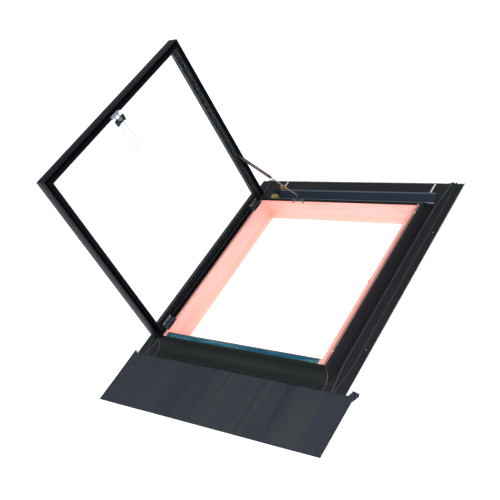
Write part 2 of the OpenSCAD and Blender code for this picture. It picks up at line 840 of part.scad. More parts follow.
// Puts what is drawn round the spindle where the open sash has it
module on_spindle() {
  opened() translate([latch_x, latch_y, latch_z]) children();
}

// Spindle with a thicker hub between the arms and a hooked tongue, turned free
module latch_spindle() {
  half = handle_l / 2 - 3;
  w = tongue_w;
  color(zinc) on_spindle() rotate([0, latch_turn, 0]) {
    rod_y(-half, 2 * half, spindle_r);
    rod_y(-arm_gap / 2 + 0.5, arm_gap - 1, hub_r);
    translate([-2, -w / 2, -10]) cube([4, w, 10]);
    translate([-2, -w / 2, -10]) cube([tongue_reach + 2, w, 3.8]);
  }
}

// Length of handle with rounded edges, reaching deep away from the rail
module handle_bar(length, deep) {
  r = handle_t / 2;
  tip = r - 1.5;
  rod_y(-length / 2, length, r);
  translate([tip - deep, 0, 0]) rod_y(-length / 2, length, tip);
  along_y(-length / 2, length) polygon([[0, -r], [0, r], [tip - deep, tip], [tip - deep, -tip]]);
}

// One moulded handle: two lobes and a waist, open round the fork and the tongue, with
// a hole for each end of the pull loop
module latch_handle() {
  half = handle_l / 2 - 3;
  pocket = tongue_w + 1;
  color([0.07, 0.09, 0.15]) difference() {
    on_spindle() difference() {
      union() {
        for (s = [-1, 1]) translate([0, s * (handle_l + waist_l) / 4, 0])
          handle_bar((handle_l - waist_l) / 2, handle_deep);
        handle_bar(waist_l + 2 * eps, handle_waist);
      }
      translate([-handle_t / 2, -recess_l / 2, -20]) cube([40, recess_l, 40]);
      translate([-11, -pocket / 2, -20]) cube([20, pocket, 20]);
      rod_y(-half - 1, 2 * half + 2, spindle_r + fit);
    }
    for (end = [loop_route[0], loop_route[len(loop_route) - 1]])
      translate([end[0], end[1], end[2] - loop_end_l])
        cylinder(h = loop_end_l + fit, r = loop_r + fit);
  }
}

// Plate on the free timber with a narrow hook that the tongue turns under
module latch_keeper() {
  t = keeper_t;
  color(zinc) difference() {
    union() {
      translate([hw - t, latch_y - keeper_l / 2, hook_z - 24]) cube([t, keeper_l, 24]);
      translate([hw - keeper_reach, latch_y - hook_l / 2, hook_z - t])
        cube([keeper_reach - t + eps, hook_l, t]);
    }
    for (dy = keeper_screw_dys) translate([0, latch_y + dy, keeper_screw_z])
      rod_x(hw - 3, 5, keeper_screw[0] + fit);
  }
}

module latch_keeper_screws() {
  color(zinc) for (dy = keeper_screw_dys) translate([hw - keeper_t, latch_y + dy, keeper_screw_z])
    rotate([0, -90, 0]) screw(keeper_screw, 16);
}

// Sweeps an eight-sided tube through the route, its rings square to the route
module pull_loop() {
  n = 8;
  m = len(loop_route);
  pts = [for (j = [0:m - 1])
    let (ahead = loop_route[min(j + 1, m - 1)] - loop_route[max(j - 1, 0)],
         way = ahead / norm(ahead), raw = cross([1, 0, 0], way), side = raw / norm(raw),
         over = cross(way, side))
    for (i = [0:n - 1]) loop_route[j] + loop_r * (cos(i * 360 / n) * over
      + sin(i * 360 / n) * side)];
  walls = [for (j = [0:m - 2], i = [0:n - 1]) let (i2 = (i + 1) % n) each
    [[j * n + i, j * n + i2, (j + 1) * n + i2], [j * n + i, (j + 1) * n + i2, (j + 1) * n + i]]];
  caps = [[for (i = [n - 1:-1:0]) i], [for (i = [0:n - 1]) (m - 1) * n + i]];
  color([0.9, 0.95, 0.95, 0.6]) polyhedron(pts, concat(walls, caps));
}

// --- stay ------------------------------------------------------------------

// Plate on the head with two prongs over its inner edge and an ear for the stay
module stay_bracket() {
  z = timber_top + sheet_t;
  color(zinc) {
    difference() {
      translate([bracket_x, hl - 1, z]) cube([bracket_l, bracket_w, leaf_t]);
      for (x = bracket_screw_xs) translate([x, bracket_screw_y, z - 1])
        cylinder(h = 4, r = wood_screw[0] + fit);
    }
    for (x = [bracket_x, bracket_x + bracket_l - prong_w]) translate([x, hl - 1, z - 11])
      cube([prong_w, 0.9, 12]);
    translate([pin_x - 8, hl + bracket_w - 2, z])
      cube([11, ear_y + leaf_t - hl - bracket_w + 2, leaf_t]);
    translate([pin_x - 5.5, ear_y, z]) cube([8, leaf_t, pin_z - z]);
    translate([pin_x, 0, pin_z]) {
      rod_y(ear_y, leaf_t, 5.5);
      rod_y(ear_y, stay_y - ear_y - rod_eye_t / 2 - pin_gap, frame_pin_r);
    }
  }
}

module stay_bracket_screws() {
  color(zinc) for (x = bracket_screw_xs)
    translate([x, bracket_screw_y, timber_top + sheet_t + leaf_t]) screw(wood_screw, 18);
}

// Places of two spare screws in the head's inner face, near the free side
module spare_head_at() {
  for (x = [hw - 225, hw - 196]) translate([x, hl, timber_top - 5]) children();
}

module spare_head_screws() {
  color(zinc) spare_head_at() rotate([90, 0, 0]) screw(wood_screw, 14);
}

// Shoe that runs in the head rail's groove, with two ears for the tube
module stay_slider() {
  u_mid = sash_y - stay_y;
  roof = sash_z + sash_t - 4;
  lips = sash_z + lip_v + lip_t;
  color([0.12, 0.12, 0.13]) opened() translate([slider_x, 0, 0]) difference() {
    union() {
      translate([-9, stay_y - 8, lips + 0.3]) cube([38, 16, roof - lips - 0.8]);
      translate([-9, stay_y - 6, slider_z - 5]) cube([18, 12, lips + 1 - slider_z + 5]);
    }
    translate([-10, stay_y - eye_t / 2 - 0.3, slider_z - 6]) cube([20, eye_t + 0.6, 12.5]);
    translate([0, 0, slider_z]) rod_y(stay_y - u_mid, 2 * u_mid, stay_pin_r + fit);
    translate([slider_screw_x, stay_y, lips - 1]) cylinder(h = 12, r = keeper_screw[0] + fit);
  }
}

module stay_slider_pin() {
  color(zinc) opened() translate([slider_x, 0, slider_z]) rod_y(stay_y - 6, 12, stay_pin_r);
}

module stay_slider_screw() {
  lips = sash_z + lip_v + lip_t;
  color("white") opened() translate([slider_x + slider_screw_x, stay_y, lips + 0.3])
    mirror([0, 0, 1]) screw([keeper_screw[0], 3.2, 1.4], 5);
}

// Runs z along the stay, from the slider pin towards the frame pin
module along_stay() {
  translate([slide_x, stay_y, slide_z]) rotate([0, stay_angle, 0]) children();
}

module stay_tube() {
  color(zinc) along_stay() {
    difference() {
      union() {
        rod_y(-eye_t / 2, eye_t, eye_r);
        translate([-3.5, -eye_t / 2, 0]) cube([7, eye_t, tube_from]);
        translate([0, 0, tube_from - 3]) cylinder(h = tube_l - tube_from + 3, r = tube_r);
      }
      translate([0, 0, tube_from]) cylinder(h = tube_l, r = tube_r - tube_wall);
      rod_y(-eye_t, 2 * eye_t, stay_pin_r + fit);
    }
  }
}

// Bush in the tube's mouth that the rod slides through
module stay_guide() {
  color(black_rubber) along_stay() difference() {
    union() {
      translate([0, 0, tube_l - 12]) cylinder(h = 12, r = tube_r - tube_wall - 0.02);
      translate([0, 0, tube_l]) cylinder(h = 2, r = tube_r - 0.5);
    }
    translate([0, 0, tube_l - 13]) cylinder(h = 16, r = rod_r + fit);
  }
}

module stay_rod() {
  color(zinc) along_stay() {
    translate([0, 0, rod_top]) cylinder(h = 6, r = tube_r - tube_wall - 0.1);
    translate([0, 0, rod_top + 5]) cylinder(h = stay_l - rod_top - 9, r = rod_r);
    difference() {
      translate([0, 0, stay_l]) rod_y(-rod_eye_t / 2, rod_eye_t, eye_r - 0.5);
      translate([0, 0, stay_l]) rod_y(-rod_eye_t, 2 * rod_eye_t, frame_pin_r + 0.1);
    }
  }
}

// --- nodes -----------------------------------------------------------------

left_jamb();
right_jamb();
head_timber();
sill_timber();
corner_screws();
sill_strip();
sill_strip_screws();
head_liner();
packing_blocks();
sash_guides();
left_flashing();
right_flashing();
head_flashing();
front_flashing();
apron();
apron_rivets();
apron_edge_strip();
head_cover();
cover_straps();
hinge_frame_leaves();
hinge_pins();
hinge_frame_screws();
stay_bracket();
stay_bracket_screws();
spare_head_screws();
latch_keeper();
latch_keeper_screws();
sash_hinge_rail();
sash_free_rail();
sash_head_rail();
sash_sill_rail();
corner_cleats();
outer_pane();
inner_pane();
spacer_bar();
pane_sealant();
glazing_gaskets();
sash_gasket();
hinge_sash_leaves();
hinge_sash_screws();
latch_plate();
latch_plate_screws();
latch_spindle();
latch_handle();
pull_loop();
stay_slider();
stay_slider_pin();
stay_slider_screw();
stay_tube();
stay_guide();
stay_rod();
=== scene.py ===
import json
from math import cos, radians, sin

import bpy
from mathutils import Matrix, Vector, noise


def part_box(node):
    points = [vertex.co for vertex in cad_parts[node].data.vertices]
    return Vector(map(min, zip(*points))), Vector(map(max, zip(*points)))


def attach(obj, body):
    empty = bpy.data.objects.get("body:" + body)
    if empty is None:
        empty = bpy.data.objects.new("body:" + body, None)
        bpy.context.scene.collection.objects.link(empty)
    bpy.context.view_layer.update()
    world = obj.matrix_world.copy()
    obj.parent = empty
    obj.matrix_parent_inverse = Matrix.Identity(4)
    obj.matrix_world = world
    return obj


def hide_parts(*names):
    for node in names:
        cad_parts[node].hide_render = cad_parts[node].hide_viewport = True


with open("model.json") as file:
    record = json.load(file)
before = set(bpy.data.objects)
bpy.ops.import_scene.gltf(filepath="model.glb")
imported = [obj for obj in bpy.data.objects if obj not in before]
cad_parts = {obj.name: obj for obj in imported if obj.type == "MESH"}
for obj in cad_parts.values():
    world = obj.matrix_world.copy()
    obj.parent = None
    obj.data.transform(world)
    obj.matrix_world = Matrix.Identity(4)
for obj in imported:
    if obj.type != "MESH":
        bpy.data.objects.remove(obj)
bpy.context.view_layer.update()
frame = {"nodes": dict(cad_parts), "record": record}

MM = 0.001
NODES = frame["nodes"]
BODY_OF = {node: body for body, nodes in frame["record"]["behaviour"]["bodies"].items()
           for node in nodes}

# The floor lies at the foot of the timbers
FLOOR_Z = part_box("left_jamb")[0][2]

# Glued-up staves of the timber: their thickness and length
LAMELLA = 28 * MM
STAVE = 410 * MM

# Folded sheet: the pale hem's width, the heights of the inner and outer ridge, the pleats' pitch
HEM_SHOWN = 5 * MM
RIDGE_TOPS = (9 * MM, 8 * MM)
PLEAT = 7.4 * MM

# --- camera ------------------------------------------------------------------

CAMERA_PLACE = Vector((2.229, -1.836, 2.183))
CAMERA_TARGET = Vector((-0.323, 0.130, 0.0))
CAMERA_ROLL = radians(31.4)
CAMERA_LENS = 63.6
SENSOR_WIDTH = 36.0


def make_camera():
    bpy.ops.object.camera_add(location=CAMERA_PLACE)
    camera = bpy.context.active_object
    camera.name = "camera"
    camera.data.lens = CAMERA_LENS
    camera.data.sensor_width = SENSOR_WIDTH
    camera.data.dof.use_dof = False
    camera.data.clip_end = 100.0
    level = (CAMERA_TARGET - CAMERA_PLACE).to_track_quat("-Z", "Y").to_matrix().to_4x4()
    camera.matrix_world = (Matrix.Translation(CAMERA_PLACE) @ level
                           @ Matrix.Rotation(-CAMERA_ROLL, 4, "Z"))
    bpy.context.scene.camera = camera


# --- modelling helpers ---------------------------------------------------------

def select_only(*objects):
    bpy.ops.object.select_all(action="DESELECT")
    for obj in objects:
        obj.select_set(True)
    bpy.context.view_layer.objects.active = objects[0]


def edit(obj, what="VERT"):
    """Opens one object in edit mode with nothing selected."""
    select_only(obj)
    bpy.ops.object.mode_set(mode="EDIT")
    bpy.ops.mesh.select_mode(type=what)
    bpy.ops.mesh.select_all(action="DESELECT")


def leave_edit():
    bpy.ops.object.mode_set(mode="OBJECT")


def select_faces(obj, wanted):
    """In edit mode, selects the faces that the test picks."""
    leave_edit()
    for face in obj.data.polygons:
        face.select = bool(wanted(face))
    bpy.ops.object.mode_set(mode="EDIT")


def select_points(obj, wanted):
    """In edit mode, selects the points that the test picks."""
    leave_edit()
    for point in obj.data.vertices:
        point.select = bool(wanted(point.co))
    bpy.ops.object.mode_set(mode="EDIT")


def add_modifier(obj, kind, **settings):
    """Adds a modifier and applies it at once."""
    select_only(obj)
    modifier = obj.modifiers.new(kind.lower(), kind)
    for key, value in settings.items():
        setattr(modifier, key, value)
    bpy.ops.object.modifier_apply(modifier=modifier.name)


def named(name):
    obj = bpy.context.active_object
    obj.name = name
    obj.data.name = name
    return obj


def smooth(obj, angle=35):
    select_only(obj)
    bpy.ops.object.shade_smooth_by_angle(angle=radians(angle))


def merged_copy(node, name):
    """A copy of a CAD node, its loose triangles merged and its flat faces made whole."""
    obj = NODES[node].copy()
    obj.data = NODES[node].data.copy()
    obj.parent = None
    obj.matrix_world = Matrix.Identity(4)
    obj.name = name
    obj.data.name = name
    bpy.context.collection.objects.link(obj)
    edit(obj)
    bpy.ops.mesh.select_all(action="SELECT")
    bpy.ops.mesh.remove_doubles(threshold=0.004 * MM)
    bpy.ops.mesh.dissolve_limited(angle_limit=radians(0.4))
    leave_edit()
    return obj


def solids(node):
    """The box of each separate solid of a node, in order along X, Y and Z."""
    obj = merged_copy(node, "scratch")
    edit(obj)
    bpy.ops.mesh.select_all(action="SELECT")
    bpy.ops.mesh.separate(type="LOOSE")
    leave_edit()
    parts = list(bpy.context.selected_objects)
    boxes = []
    for part in parts:
        points = [v.co for v in part.data.vertices]
        low = Vector([min(p[i] for p in points) for i in range(3)])
        high = Vector([max(p[i] for p in points) for i in range(3)])
        boxes.append((low, high))
    select_only(*parts)
    bpy.ops.object.delete()
    return sorted(boxes, key=lambda b: tuple(round(v, 4) for v in b[0]))


def finish_piece(obj, node, finish):
    """Gives a piece its finish and lets it stand for the node of the same place."""
    obj.data.materials.clear()
    obj.data.materials.append(finish.material)
    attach(obj, BODY_OF[node])
    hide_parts(node)


def soften(node, finish, width, segments=2, angle=28):
    """The node's own shape with its sharp edges broken, as a maker would leave them."""
    obj = merged_copy(node, node + "_made")
    add_modifier(obj, "BEVEL", width=width * MM, segments=segments, limit_method="ANGLE",
                 angle_limit=radians(angle), use_clamp_overlap=True, harden_normals=False)
    smooth(obj)
    finish_piece(obj, node, finish)
    return obj


# --- materials -----------------------------------------------------------------

class Value:
    """A socket that can be added, subtracted, multiplied and divided."""

    def __init__(self, finish, socket):
        self.finish = finish
        self.socket = socket

    def math(self, operation, other=0.0, swapped=False):
        pair = (other, self) if swapped else (self, other)
        return self.finish.node("ShaderNodeMath", {"operation": operation}, dict(enumerate(pair)))

    def __add__(self, other):
        return self.math("ADD", other)

    def __radd__(self, other):
        return self.math("ADD", other, swapped=True)

    def __sub__(self, other):
        return self.math("SUBTRACT", other)

    def __mul__(self, other):
        return self.math("MULTIPLY", other)

    def __truediv__(self, other):
        return self.math("DIVIDE", other)

    def __gt__(self, other):
        return self.math("GREATER_THAN", other)

    def __lt__(self, other):
        return self.math("LESS_THAN", other)

    def floor(self):
        return self.math("FLOOR")

    def clamped(self):
        return self.finish.node("ShaderNodeClamp", {}, {0: self})


class Finish:
    """A material, the nodes that make it, and its shader's constants."""

    def __init__(self, name, metallic=0.0, gloss=0.5, coat=0.0, coat_rough=0.2, alpha=1.0):
        self.material = bpy.data.materials.new(name)
        self.material.use_nodes = True
        self.tree = self.material.node_tree
        self.shader = self.tree.nodes["Principled BSDF"]
        constants = {"Metallic": metallic, "Specular IOR Level": gloss, "Coat Weight": coat,
                     "Coat Roughness": coat_rough, "Alpha": alpha}
        for socket, value in constants.items():
            self.shader.inputs[socket].default_value = value
        self.at = self.node("ShaderNodeTexCoord", {}, {}, "Object")

    def node(self, kind, settings, sockets, output=0):
        """Adds any node: its settings first, then the values or links of its sockets."""
        made = self.tree.nodes.new(kind)
        for key, value in settings.items():
            if key == "stops":
                for i, (place, colour) in enumerate(value):
                    ramp = made.color_ramp.elements
                    stop = ramp[i] if i < len(ramp) else ramp.new(place)
                    stop.position = place
                    stop.color = colour
            else:
                setattr(made, key, value)
        for key, value in sockets.items():
            if isinstance(value, Value):
                self.tree.links.new(value.socket, made.inputs[key])
            else:
                made.inputs[key].default_value = value
        return Value(self, made.outputs[output])

    def mix(self, factor, first, second):
        """Two colours mixed by a factor."""
        return self.node("ShaderNodeMix", {"data_type": "RGBA"}, {0: factor, 6: first, 7: second},
                         2)

    def axis(self, letter):
        return self.node("ShaderNodeSeparateXYZ", {}, {0: self.at}, letter)

    def noise(self, scale, detail=3.0, rough=0.5, distort=0.0):
        """Noise from 0 to 1; scale is its cells per metre along X, Y and Z."""
        at = self.node("ShaderNodeMapping", {}, {"Vector": self.at, "Scale": scale})
        return self.node("ShaderNodeTexNoise", {}, {
            "Vector": at, "Scale": 1.0, "Detail": detail, "Roughness": rough,
            "Distortion": distort})

    def ramp(self, value, *stops):
        return self.node("ShaderNodeValToRGB", {"stops": stops}, {0: value})

    def drive(self, socket, value):
        self.tree.links.new(value.socket, self.shader.inputs[socket])

    def bump(self, height, distance, strength=1.0):
        self.drive("Normal", self.node("ShaderNodeBump", {}, {
            "Height": height, "Distance": distance, "Strength": strength}))


def colour(red, green, blue):
    """A linear colour from the 0 to 255 values that a screen shows."""
    parts = [v / 255 for v in (red, green, blue)]
    return tuple(p / 12.92 if p <= 0.04045 else ((p + 0.055) / 1.055) ** 2.4
                 for p in parts) + (1.0,)


def pine(name, along):
    """Varnished softwood, its grain along one axis, glued up from long lamellas."""
    f = Finish(name, gloss=0.35, coat=0.2, coat_rough=0.25)
    stretch = {"X": (1.8, 30, 30), "Y": (30, 1.8, 30)}[along]
    fine = tuple(v * 11 for v in stretch)
    rings = f.noise(stretch, 4.0, 0.6, 0.8)
    fibres = f.noise(fine, 5.0, 0.65)
    row = ((f.axis("Z") + 0.5) / LAMELLA).floor()
    stave = (f.axis(along) / STAVE + row * 0.37).floor() + row * 13.1
    tone = f.node("ShaderNodeTexWhiteNoise", {"noise_dimensions": "1D"}, {"W": stave})
    wood = f.ramp(rings, (0.28, colour(240, 163, 154)), (0.48, colour(247, 178, 170)),
                  (0.62, colour(242, 167, 157)), (0.78, colour(230, 146, 131)))
    wood = f.mix(((fibres - 0.4) * 0.6).clamped(), wood, colour(212, 126, 112))
    wood = f.mix((tone - 0.45).clamped() * 0.65, wood, colour(236, 146, 116))
    f.drive("Base Color", wood)
    f.drive("Roughness", 0.38 + fibres * 0.16)
    f.bump(fibres * 0.5 + rings * 0.5, 0.00015, 0.5)
    return f


def coated_sheet(name, dark, light, edges_and_painted_light=None):
    """Matt coated sheet, with its pale bare hems and the painted highlights and painted shadow
    that an edge function adds.
    """
    f = Finish(name, gloss=0.1)
    broad = f.noise((3.0, 1.2, 3.0), 3.0)
    grime = f.noise((90, 40, 90), 4.0, 0.7)
    sheet = f.mix(broad, dark, light)
    sheet = f.mix((grime - 0.5).clamped() * 0.4, sheet, colour(62, 64, 66))
    # The edge function paints pale hems, painted highlights and painted shadow onto the sheet
    if edges_and_painted_light:
        sheet = edges_and_painted_light(f, sheet, grime)
    f.drive("Base Color", sheet)
    f.drive("Roughness", 0.40 + grime * 0.2)
    f.bump(grime, 0.00006, 0.35)
    return f


def flange_edges(f, sheet, grime):
    """The folded hem's pale back at the outer edges, and painted highlights along the ridge tops
    and the upstand's top edge.
    """
    side = f.axis("X").math("ABSOLUTE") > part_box("right_flashing")[1][0] - HEM_SHOWN
    head = f.axis("Y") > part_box("head_flashing")[1][1] - HEM_SHOWN
    height = f.axis("Z")
    # Painted highlight: thin bright lines on both ridge tops and on the upstand's top edge
    inner_ridge = (height - RIDGE_TOPS[0]).math("ABSOLUTE") < 0.3 * MM
    outer_ridge = (height - RIDGE_TOPS[1]).math("ABSOLUTE") < 0.12 * MM
    upstand = (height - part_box("right_flashing")[1][2]).math("ABSOLUTE") < 1.2 * MM
    ridge_highlight = (inner_ridge + outer_ridge + upstand).clamped() * (0.1 + grime * 0.3)
    # The painted highlight's light grey, mixed in along those lines
    sheet = f.mix(ridge_highlight, sheet, colour(128, 132, 138))
    return f.mix((side + head).clamped(), sheet, colour(216, 232, 226))


def front_edges(f, sheet, grime):
    """A painted glint on the cut edges at both ends of the front curve, and a painted shadow along
    the edge at the seam.
    """
    low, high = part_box("front_flashing")
    # Painted glint along the last 0.9 mm of both ends
    end_glints = f.axis("X").math("ABSOLUTE") > high[0] - 0.9 * MM
    # Painted shadow: a near-black line along the sheet's edge at the seam above the apron
    seam = f.axis("Y") < low[1] + 1.4 * MM
    sheet = f.mix(end_glints * (0.4 + grime * 0.4), sheet, colour(150, 162, 158))
    return f.mix(seam, sheet, colour(6, 7, 8))


def cover_edges(f, sheet, grime):
    """A painted highlight along the cover's lower lip and a painted sheen on its upper bend."""
    low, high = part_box("head_cover")
    lip_highlight = f.axis("Y") < low[1] + 1.6 * MM
    bend_sheen = ((f.axis("Z") - high[2]).math("ABSOLUTE") < 0.9 * MM) * 0.5
    # Painted highlight and painted sheen, mixed towards a light blue-grey
    return f.mix((lip_highlight + bend_sheen).clamped() * (0.4 + grime * 0.4), sheet, colour(128, 142, 150))


def pleated_sheet():
    """Slate-coloured soft aluminium with painted shade in the folds, uneven from band to band."""
    f = Finish("apron_sheet", gloss=0.15, metallic=0.1)
    bands = f.noise((8.0, 0.5, 1.0), 3.0)
    grime = f.noise((60, 60, 60), 4.0, 0.7)
    sheet = f.ramp(bands, (0.34, colour(56, 62, 74)), (0.46, colour(66, 73, 80)),
                   (0.56, colour(70, 73, 87)), (0.66, colour(74, 82, 82)),
                   (0.78, colour(58, 62, 76)))
    sheet = f.mix((grime - 0.5).clamped() * 0.4, sheet, colour(96, 100, 104))
    # Painted shade: each fold darkens towards near-black where shade falls between the pleats
    wave = (f.axis("X") / PLEAT).math("PINGPONG", 0.5) * 2.0
    sheet = f.mix(wave * 0.95, sheet, colour(10, 11, 18))
    f.drive("Base Color", sheet)
    f.drive("Roughness", 0.42 + grime * 0.15)
    f.bump(grime, 0.00006, 0.4)
    return f


def powder_coat():
    """Near-black satin powder coat with a fine orange-peel."""
    f = Finish("powder_coat", gloss=0.06)
    peel = f.noise((700, 700, 700), 2.0)
    broad = f.noise((5, 5, 5), 2.0)
    f.drive("Base Color", f.mix(broad, colour(10, 15, 21), colour(20, 23, 31)))
    f.drive("Roughness", 0.30 + broad * 0.12)
    f.bump(peel, 0.00003, 0.5)
    return f


def teal_sheet():
    """Glossy blue-green strip with faint rolling lines along it."""
    f = Finish("teal_sheet", metallic=0.7)
    lines = f.noise((2.0, 900, 2.0), 3.0)
    clouds = f.noise((4.0, 60, 1.0), 4.0, 0.6)
    teal = f.ramp(clouds, (0.32, colour(14, 82, 112)), (0.50, colour(38, 112, 136)),
                  (0.66, colour(96, 160, 172)))
    f.drive("Base Color", teal)
    f.drive("Roughness", 0.18 + lines * 0.16)
    f.bump(lines, 0.00003, 0.4)
    return f


def plated(name, dark, light, metallic=0.95, rough=0.28, grain=(300, 300, 300)):
    """Plated or drawn metal with a faint grain and dull spots."""
    f = Finish(name, metallic=metallic)
    streak = f.noise(grain, 3.0)
    spots = f.noise((55, 55, 55), 4.0, 0.7)
    f.drive("Base Color", f.mix(spots, dark, light))
    f.drive("Roughness", rough + (streak - 0.5) * 0.14)
    f.bump(streak, 0.00002, 0.4)
    return f


def moulded(name, dark, light, rough=0.4, gloss=0.3):
    """Moulded plastic or rubber with a fine grain."""
    f = Finish(name, gloss=gloss)
    grain = f.noise((900, 900, 900), 2.0)
    broad = f.noise((30, 30, 30), 2.0)
    f.drive("Base Color", f.mix(broad, dark, light))
    f.drive("Roughness", rough + (grain - 0.5) * 0.1)
    f.bump(grain, 0.00004, 0.4)
    return f


def packing():
    """Olive open-cell foam."""
    f = Finish("packing", gloss=0.1)
    cells = f.noise((420, 420, 420), 3.0, 0.7)
    broad = f.noise((40, 40, 40), 2.0)
    foam = f.mix(broad, colour(104, 94, 56), colour(144, 130, 82))
    f.drive("Base Color", f.mix((cells - 0.5).clamped(), foam, colour(60, 55, 32)))
    f.drive("Roughness", 0.8 + cells * 0.15)
    f.bump(cells, 0.0006, 0.8)
    return f


def clear(name, dark, light, alpha, rough):
    """Clear glass or soft plastic: mostly see-through, with a clean reflection."""
    f = Finish(name, alpha=alpha)
    smear = f.noise((8, 8, 8), 3.0)
    f.drive("Base Color", f.mix(smear, dark, light))
    f.drive("Roughness", rough + smear * 0.04)
    f.material.surface_render_method = "BLENDED"
    return f


PINE_X = pine("pine_across", "X")
PINE_Y = pine("pine_along", "Y")
SHEET = coated_sheet("coated_sheet", colour(18, 20, 22), colour(32, 34, 36))
FLANGE = coated_sheet("coated_flange", colour(28, 34, 35), colour(41, 37, 43), flange_edges)
# The cover's blue-grey is partly its coating's own colour and partly a painted reflection of the
# sky
COVER = coated_sheet("coated_cover", colour(22, 29, 40), colour(36, 46, 62), cover_edges)
FRONT = coated_sheet("coated_front", colour(20, 25, 25), colour(32, 37, 36), front_edges)
RIVET = coated_sheet("coated_rivet", colour(52, 60, 60), colour(70, 78, 78))
APRON = pleated_sheet()
SASH = powder_coat()
TEAL = teal_sheet()
ZINC = plated("zinc_plate", colour(120, 132, 138), colour(182, 190, 194), rough=0.32)
LEAF = plated("hinge_plate", colour(58, 72, 78), colour(104, 120, 126), rough=0.36)
# The tube's dark colour is partly painted: it stands in for the dark surroundings that it reflects
TUBE = plated("drawn_tube", colour(34, 31, 36), colour(84, 68, 68), 0.85, grain=(60, 60, 900))
ROD = plated("bronzed_rod", colour(76, 60, 56), colour(132, 106, 94), 0.85, 0.3)
PLATE = plated("latch_steel", colour(92, 100, 118), colour(146, 154, 172), rough=0.34)
BARE = plated("bare_sheet", colour(206, 220, 216), colour(236, 244, 241), 0.3, 0.45)
SPACER = plated("spacer", colour(18, 26, 30), colour(32, 40, 44), 0.5, 0.5)
RUBBER = moulded("seal_rubber", colour(12, 12, 14), colour(22, 22, 25), 0.62, 0.15)
BLACK = moulded("black_plastic", colour(16, 16, 19), colour(28, 28, 32), 0.4)
NAVY = moulded("navy_plastic", colour(10, 18, 38), colour(20, 30, 56), 0.35, 0.15)
WHITE = moulded("white_plastic", colour(226, 230, 228), colour(244, 246, 245))
FOAM = packing()
GLASS = clear("pane_glass", colour(150, 186, 182), colour(176, 204, 200), 0.03, 0.02)
LOOP = clear("loop_plastic", colour(104, 150, 122), colour(150, 184, 164), 0.85, 0.2)


# --- frame -----------------------------------------------------------------------

def make_timbers():
    for node in ("left_jamb", "right_jamb"):
        soften(node, PINE_Y, 1.2, 3)
    for node in ("head_timber", "sill_timber"):
        soften(node, PINE_X, 1.2, 3)


def make_flashing():
    for node in ("left_flashing", "right_flashing", "head_flashing"):
        soften(node, FLANGE, 0.9, 3, 12)
    soften("front_flashing", FRONT, 0.4, 2, 20)
    soften("head_liner", SHEET, 0.4)
    soften("head_cover", COVER, 0.5, 3, 20)
    soften("cover_straps", BARE, 0.3)
    soften("apron_edge_strip", BARE, 0.25)


def make_fittings():
    soften("sill_strip", TEAL, 0.35)
    soften("sash_guides", WHITE, 0.6, 3)
    soften("apron_rivets", RIVET, 0.25)
    soften("corner_screws", ZINC, 0.4)
    for node in ("hinge_pins", "latch_keeper"):
        soften(node, ZINC, 0.35)
    soften("latch_plate", PLATE, 0.35)
    for node in ("hinge_frame_leaves", "hinge_sash_leaves", "stay_bracket"):
        soften(node, LEAF, 0.35)


def make_sash():
    for node in ("sash_hinge_rail", "sash_free_rail", "sash_head_rail", "sash_sill_rail"):
        soften(node, SASH, 0.45, 3)
    for node in ("sash_gasket", "glazing_gaskets", "pane_sealant"):
        soften(node, RUBBER, 0.4)
    soften("corner_cleats", ZINC, 0.4)
    soften("spacer_bar", SPACER, 0.4)
    for node in ("outer_pane", "inner_pane"):
        soften(node, GLASS, 0.5)


def make_stay():
    soften("stay_slider", BLACK, 0.6, 3)
    soften("stay_slider_pin", ZINC, 0.4)
    soften("stay_slider_screw", WHITE, 0.3)
    soften("stay_tube", TUBE, 0.5, 3)
    soften("stay_guide", RUBBER, 0.4)
    soften("stay_rod", ROD, 0.4, 3)


def make_latch():
    soften("latch_spindle", ZINC, 0.35)
    soften("latch_handle", NAVY, 0.9, 3)


# Half of the pull loop, in millimetres: (distance from its middle line, depth)
LOOP_TOP = Vector((-406, -15, 835)) * MM
LOOP_HALF = [
    (8, 0), (8, 8), (8.8, 17), (10.2, 27), (12, 37), (13.8, 47), (15.2, 57), (16.2, 67),
    (16.8, 77), (17, 87), (16.9, 97), (16.5, 107), (15.4, 116), (13.2, 124.5), (10, 131.5),
    (6, 136.5), (2, 138.8)
]
LOOP_RADIUS = 1.5 * MM
LOOP_TURN = 55
LOOP_TURN_DEPTH = 60


def loop_point(side, depth):
    """A point of the loop, which hangs in the sash's plane and turns as it goes down."""
    turn = radians(90 - LOOP_TURN * min(1, depth / LOOP_TURN_DEPTH))
    return LOOP_TOP + Vector((side * cos(turn), side * sin(turn), -depth)) * MM


def make_pull_loop():
    """Soft clear tube from one end of the handle's waist to the other."""
    route = [loop_point(-side, depth) for side, depth in LOOP_HALF]
    route += [loop_point(side, depth) for side, depth in reversed(LOOP_HALF)]
    data = bpy.data.curves.new("pull_loop_made", "CURVE")
    data.dimensions = "3D"
    spline = data.splines.new("POLY")
    spline.points.add(len(route) - 1)
    for point, place in zip(spline.points, route):
        point.co = (*place, 1.0)
    data.bevel_depth = LOOP_RADIUS
    data.bevel_resolution = 3
    data.use_fill_caps = True
    obj = bpy.data.objects.new("pull_loop_made", data)
    bpy.context.collection.objects.link(obj)
    data.materials.append(LOOP.material)
    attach(obj, "latch")
    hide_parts("pull_loop")


# A screw head's dome and crown, as shares of its rim's height, and the three together
DOME = 0.35
CROWN = 0.12
HEAD_RISE = 1.47


